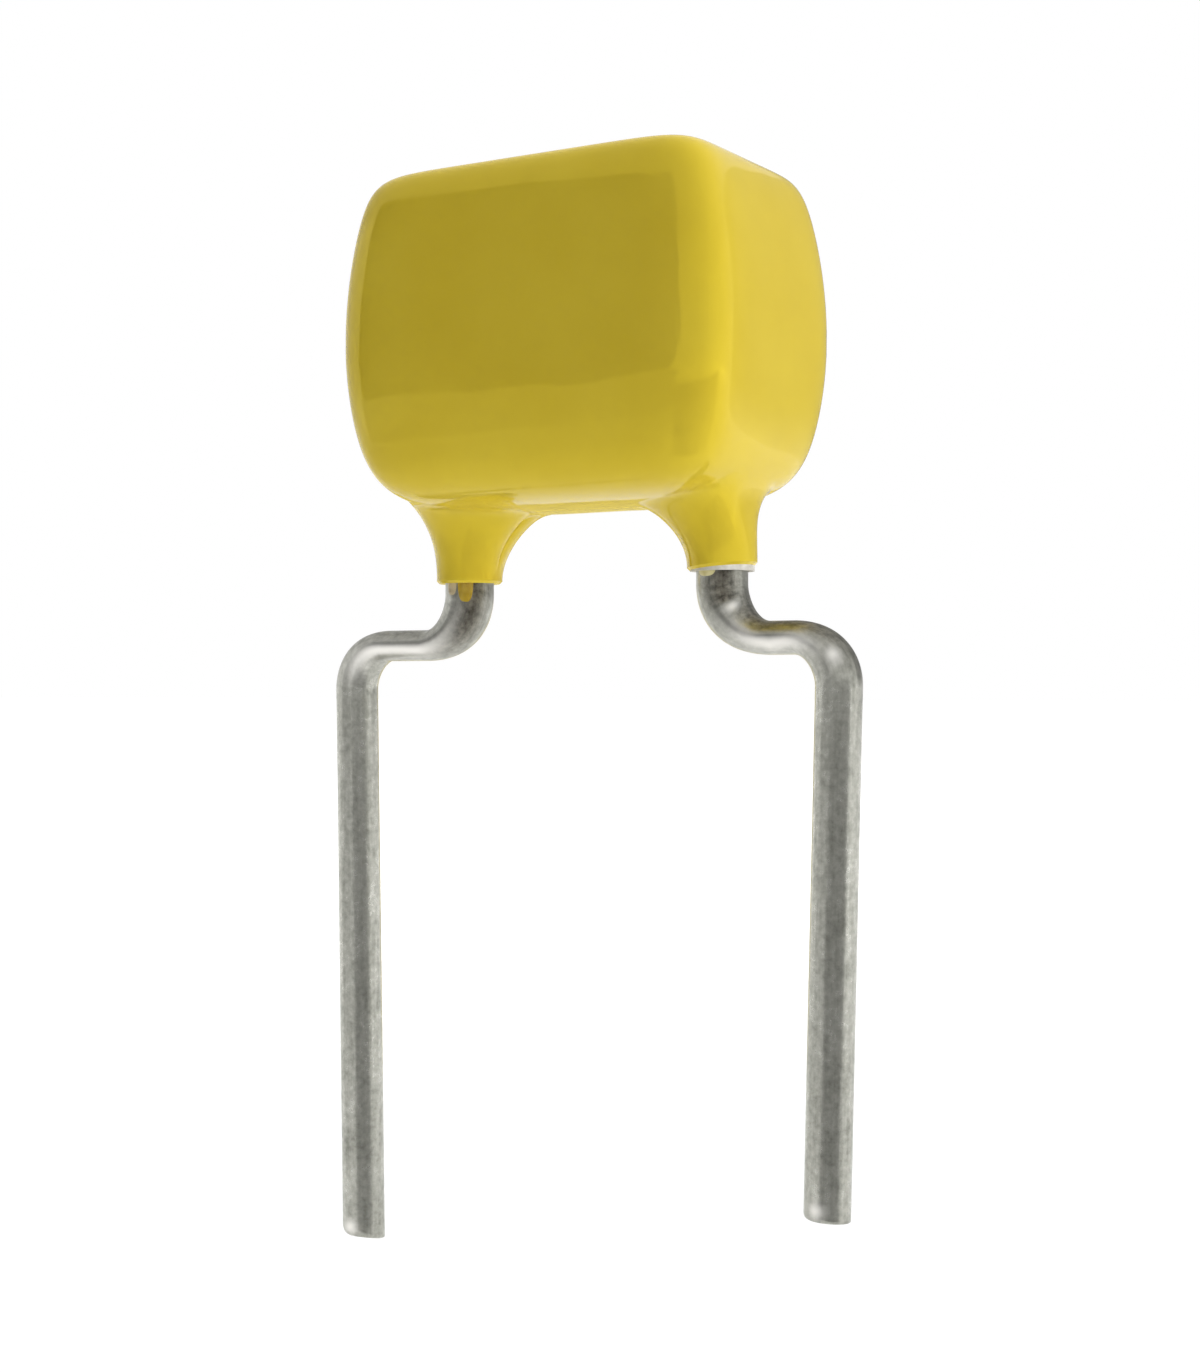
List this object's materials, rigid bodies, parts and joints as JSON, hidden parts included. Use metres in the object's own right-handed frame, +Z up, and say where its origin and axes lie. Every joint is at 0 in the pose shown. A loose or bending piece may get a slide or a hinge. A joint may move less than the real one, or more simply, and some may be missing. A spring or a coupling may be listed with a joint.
{
  "type": "radial multilayer ceramic capacitor",
  "caption": "Radial ceramic capacitor: a bulging block of glossy yellow epoxy that flares down formed, tinned wire leads made to be soldered through a circuit board.",
  "frame": {"origin": "midway between the leads on the seating plane, which is the underside of the lead jogs", "axes": "+X along the lead pitch towards the right lead, -Y out of the front face, +Z up through the body; the pins point to -Z"},
  "size_m": [0.0054, 0.0024, 0.0099],
  "materials": {
    "epoxy": "glossy dipped epoxy",
    "ceramic": "fired ceramic, matt",
    "electrode": "sintered metal",
    "termination": "plated, satin",
    "solder": "dull solder",
    "tinned_wire": "drawn wire, dull tin plate"
  },
  "bodies": {
    "root": {"epoxy_coat": "epoxy", "ceramic_block": "ceramic", "left_electrodes": "electrode", "right_electrodes": "electrode", "left_termination": "termination", "right_termination": "termination", "left_solder": "solder", "right_solder": "solder", "left_lead": "tinned_wire", "right_lead": "tinned_wire"}
  },
  "joints": []
}
